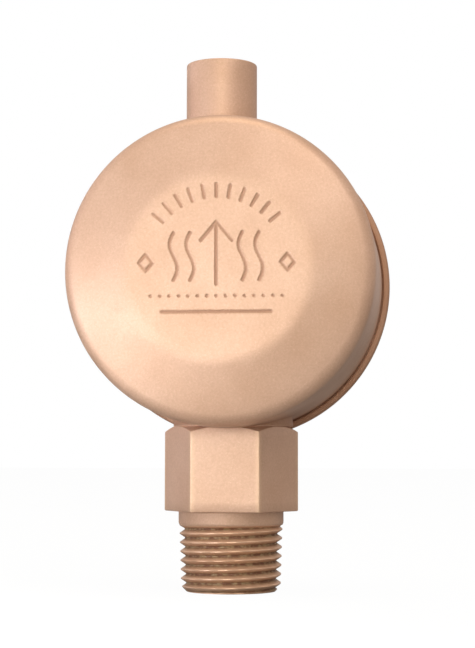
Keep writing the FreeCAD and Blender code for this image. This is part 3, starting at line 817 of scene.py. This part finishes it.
def rolled_metal(name, light, dark, rough=0.28, layers=None):
    """Rolled strip: fine lines along X. layers=(height, colour) gives the metal above it another colour."""
    material, tree, place = start_finish(name)
    lines = noise(tree, stretched(tree, place, (60.0, 4200.0, 4200.0)), 1.0, 3.0, 0.6)
    cloud = noise(tree, place, 180.0, 3.0, 0.6)
    tone = blended(tree, ramp(tree, cloud, [(0.35, 0.0), (0.7, 1.0)]), light, dark)
    if layers:
        up = tree.node("ShaderNodeSeparateXYZ", None, {0: place}).output("Z")
        above = ((up - layers[0] * MM) * 20000.0 + 0.5).clamped()
        tone = blended(tree, above, tone, layers[1])
    tone = blended(tree, lines * 0.3, tone, dark)
    end_finish(tree, tone, rough + lines * 0.14 + cloud * 0.08, lines, 0.00001, Metallic=1.0)
    return material


def pressed_fibre(name):
    """Compressed gasket fibre: dark, matte, with short pale hairs."""
    material, tree, place = start_finish(name)
    hairs = noise(tree, stretched(tree, place, (1500.0, 400.0, 900.0)), 1.0, 4.0, 0.7)
    felt = noise(tree, place, 1400.0, 4.0, 0.6)
    tone = blended(tree, ramp(tree, hairs, [(0.5, 0.0), (0.75, 1.0)]), colour(58, 44, 36), colour(118, 96, 80))
    tone = blended(tree, felt * 0.4, tone, colour(34, 26, 22))
    end_finish(tree, tone, 0.8 + felt * 0.15, hairs + felt, 0.00005, Metallic=0.0)
    return material


# %% Give every piece and node its finish
def store(piece, name, values):
    """Keeps one number for each point of a piece, for its finish to read."""
    kept = piece.data.attributes.new(name, "FLOAT", "POINT")
    kept.data.foreach_set("value", np.asarray(values, np.float32))


def points(piece):
    flat = np.zeros(len(piece.data.vertices) * 3)
    piece.data.vertices.foreach_get("co", flat)
    return flat.reshape(-1, 3) / MM


at = points(shell)
near_middle = np.hypot(at[:, 0], at[:, 2] - DRUM_Z) < MARK_REACH + 1
on_face = (at[:, 1] < FACE_Y + STROKE_DEPTH + 0.02) & near_middle
# Painted shade in the stamped marks: the deeper the stroke, the darker and redder the paint.
marks = np.clip(mark_depth(at[:, 0], at[:, 2] - DRUM_Z) / STROKE_DEPTH, 0, 1) * on_face
# Painted shadow on the drum's underside round the nipple's neck, fading out over 8 mm.
neck_shadow = np.clip(1 - (np.hypot(at[:, 0], at[:, 1]) - NECK_RADIUS - 1) / 8, 0, 1) * (at[:, 2] < DRUM_Z - 20)
store(shell, "groove", np.maximum(marks, neck_shadow))

def bevel_line(out):
    """Height of the hexagon's top bevel at this distance from the axis."""
    return HEX_TOP - np.maximum(out - HEX_RADIUS, 0) * BEVEL_SLOPE


at = points(cover)
# Painted shade on the rolled lip: darker and redder towards its front.
store(cover, "groove", 0.9 * np.clip((LIP_REAR + 0.8 - at[:, 1]) / 0.6, 0, 1))

at = points(nipple)
out = np.hypot(at[:, 0], at[:, 1])
crest = THREAD["Root"] + THREAD["Depth"] + THREAD["Taper"] * at[:, 2]
outside = out > THREAD["Root"] - 0.1
is_thread = outside & (at[:, 2] < THREAD_TOP)
# Grime and painted shade in the thread's valleys, darker towards the root.
valley = np.clip((crest - out) / THREAD["Depth"], 0, 1) * is_thread * (at[:, 2] > 0.3)
# Painted shadow on the neck above the hexagon's top bevel, under the drum.
shade_above_bevel = np.clip((at[:, 2] - bevel_line(out)) / 0.3, 0, 1) * outside
store(nipple, "groove", np.maximum(valley, shade_above_bevel))
store(nipple, "bare", np.clip((THREAD_TOP + 0.1 - at[:, 2]) / 0.3, 0, 1))
hex_zone = (at[:, 2] > HEX_BOTTOM) & (at[:, 2] < HEX_TOP)
# Painted highlight on the hexagon's rounded corners.
store(nipple, "edge", np.clip((out - HEX_CORNER + 0.5) / 0.4, 0, 1) * hex_zone)

paint = bronze_paint("bronze_paint")
nipple_finish = bronze_paint("nipple_paint", bare=True)
FINISHES = {
    "turned_brass": turned_metal("turned_brass_seat", colour(224, 184, 112), colour(150, 108, 56),
                                 centre_x=TUBE_X * MM),
    "drawn_bronze": drawn_metal("drawn_bronze", colour(206, 146, 96), colour(128, 82, 50)),
    "spring_bronze": rolled_metal("spring_bronze", colour(206, 150, 98), colour(132, 86, 50)),
    "soft_copper": turned_metal("soft_copper", colour(212, 138, 102), colour(138, 74, 48), rough=0.4),
    "bimetal": rolled_metal("bimetal", colour(190, 188, 182), colour(110, 106, 100), rough=0.3),
    "stainless_steel": turned_metal("stainless_steel", colour(196, 196, 198), colour(120, 120, 124), rough=0.2,
                                    centre_x=TUBE_X * MM),
    "gasket_fibre": pressed_fibre("gasket_fibre"),
}
PIECES = [(shell, "front_shell", paint, "bronze_paint"), (cover, "rear_cover", paint, "bronze_paint"),
          (tube, "outlet_tube", paint, "bronze_paint"), (nipple, "inlet_nipple", nipple_finish, "nipple_brass")]
for piece, node, finish, slot in PIECES:
    piece.data.materials.clear()
    piece.data.materials.append(finish)
    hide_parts(node)
    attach(piece, "casing")
for subpart in frame["record"]["subparts"]:
    node, slot = subpart["node"], subpart["material_slot"]
    if slot in FINISHES:
        target = frame["nodes"][node]
        target.data.materials.clear()
        target.data.materials.append(FINISHES[slot])
        print(f"{node} is {slot}")

# %% [markdown]
# ## Floor, light and camera
#
# The vent stands on a plain pale floor in a white room, and the room gives about half of the light. Large
# soft lights stand in front and above, all close to neutral. Two wide, low cards at the left and a pool of
# light on the floor give the drum's lower left its glow and leave the lower right in shade. Lights can be
# set by eye, but here each one was rendered alone first, because renders of single lights add up, and the
# powers were worked out from their sum and then rounded.
#
# The floor and the room are brighter to the camera than to the vent, which keeps the ground white without
# washing out the metal. A little of the floor stays matte, so the vent still casts a faint shadow on it.

# %% Floor and room
FLOOR_HALF = 3.0
FLOOR_GLOW = 1.13
GLOW_SHARE = 0.85
ground = bpy.data.meshes.new("floor")
corners = [(-1, -1), (1, -1), (1, 1), (-1, 1)]
ground.from_pydata([(FLOOR_HALF * x, FLOOR_HALF * y, 0.0) for x, y in corners], [], [(0, 1, 2, 3)])
floor = bpy.data.objects.new("floor", ground)
scene.collection.objects.link(floor)
floor_finish = bpy.data.materials.new("floor_white")
floor_finish.use_nodes = True
floor_finish.node_tree.nodes.clear()
tree = Tree(floor_finish.node_tree)
seen = tree.node("ShaderNodeLightPath").output("Is Camera Ray")
matte = tree.node("ShaderNodeBsdfDiffuse", None, {"Color": (0.3, 0.3, 0.3, 1.0)})
glow = tree.node("ShaderNodeEmission", None, {"Color": (1.0, 1.0, 1.0, 1.0), "Strength": FLOOR_GLOW})
lit = tree.node("ShaderNodeMixShader", None, {0: seen * GLOW_SHARE, 1: matte, 2: glow})
tree.node("ShaderNodeOutputMaterial", None, {"Surface": lit})
floor.data.materials.append(floor_finish)

ROOM_LIGHT = (0.54, 0.51, 0.5, 1.0)
world = bpy.data.worlds.new("room")
scene.world = world
world.use_nodes = True
world.node_tree.nodes.clear()
tree = Tree(world.node_tree)
seen = tree.node("ShaderNodeLightPath").output("Is Camera Ray")
dim = tree.node("ShaderNodeBackground", None, {"Color": ROOM_LIGHT, "Strength": 1.0})
white = tree.node("ShaderNodeBackground", None, {"Color": (1.0, 1.0, 1.0, 1.0), "Strength": 1.0})
tree.node("ShaderNodeOutputWorld", None, {
    "Surface": tree.node("ShaderNodeMixShader", None, {0: seen, 1: dim, 2: white})})

# %% Lights
DRUM_CENTRE = np.array([0.0, 0.0, DRUM_Z * MM])
# Name, degrees right, degrees up, distance, width, height, power, tint.
LIGHTS = [
    ("card_front", -18, -6, 0.34, 0.18, 0.045, 0.23, (0.88, 0.95, 1.0)),
    ("card_left", -52, -3, 0.40, 0.32, 0.07, 0.43, (0.74, 0.84, 1.0)),
    ("front", 5, 8, 1.0, 0.5, 0.5, 1.6, (1.0, 1.0, 0.85)),
    ("upper_right", 30, 40, 1.0, 0.5, 0.5, 1.9, (1.0, 1.0, 1.0)),
    ("left", -95, 8, 1.0, 0.6, 0.6, 0.7, (0.92, 0.82, 1.0)),
    ("top", 0, 80, 1.0, 0.6, 0.6, 2.1, (1.0, 0.88, 0.65)),
]


def light_place(azimuth, height, distance):
    """A point this far from the drum, in degrees to the right of its front and above it."""
    across = math.cos(math.radians(height))
    turn = math.radians(azimuth)
    way = np.array([math.sin(turn) * across, -math.cos(turn) * across, math.sin(math.radians(height))])
    return DRUM_CENTRE + way * distance


def look(position, target):
    """Turns an object's -Z axis towards a target."""
    return (Vector(target) - Vector(position)).to_track_quat("-Z", "Y").to_euler()


for name, azimuth, height, distance, wide, tall, power, tint in LIGHTS:
    position = light_place(azimuth, height, distance)
    lamp = bpy.data.lights.new(name, "AREA")
    lamp.shape = "ELLIPSE"
    lamp.size = wide
    lamp.size_y = tall
    lamp.energy = power
    lamp.color = tint
    stand = bpy.data.objects.new(name, lamp)
    stand.location = position
    stand.rotation_euler = look(position, DRUM_CENTRE)
    stand.visible_camera = False
    scene.collection.objects.link(stand)
print(f"{len(LIGHTS)} soft lights round the drum")

# %% Light on the floor
POOL_PLACE = (-0.10, -0.15, 0.16)
POOL_POWER = 0.5
pool = bpy.data.lights.new("floor_pool", "AREA")
pool.shape = "DISK"
pool.size = 0.1
pool.energy = POOL_POWER
pool.spread = math.radians(80)
pool_stand = bpy.data.objects.new("floor_pool", pool)
pool_stand.location = POOL_PLACE
pool_stand.visible_camera = False
scene.collection.objects.link(pool_stand)

# %% Camera
CAMERA_DISTANCE = 0.350
CAMERA_AZIMUTH = math.radians(5.92)
CAMERA_ELEVATION = math.radians(-4.37)
CAMERA_ROLL = math.radians(0.1)
CAMERA_AIM = np.array([1.25, 0.0, 54.43]) * MM
SENSOR = 36.0
FOCAL_LENGTH = 94.5
away = np.array([math.sin(CAMERA_AZIMUTH) * math.cos(CAMERA_ELEVATION),
                 -math.cos(CAMERA_AZIMUTH) * math.cos(CAMERA_ELEVATION), math.sin(CAMERA_ELEVATION)])
eye = CAMERA_AIM + away * CAMERA_DISTANCE
lens = bpy.data.cameras.new("camera")
lens.sensor_fit = "VERTICAL"
lens.sensor_height = SENSOR
lens.lens = FOCAL_LENGTH
lens.clip_start = 0.01
camera = bpy.data.objects.new("camera", lens)
camera.location = eye
camera.rotation_euler = look(eye, CAMERA_AIM)
camera.rotation_euler.rotate_axis("Z", CAMERA_ROLL)
scene.collection.objects.link(camera)
scene.camera = camera
scene.view_settings.view_transform = "Standard"
scene.view_settings.look = "None"
print(f"camera at {np.round(eye, 4)}, lens {FOCAL_LENGTH:.1f} mm")
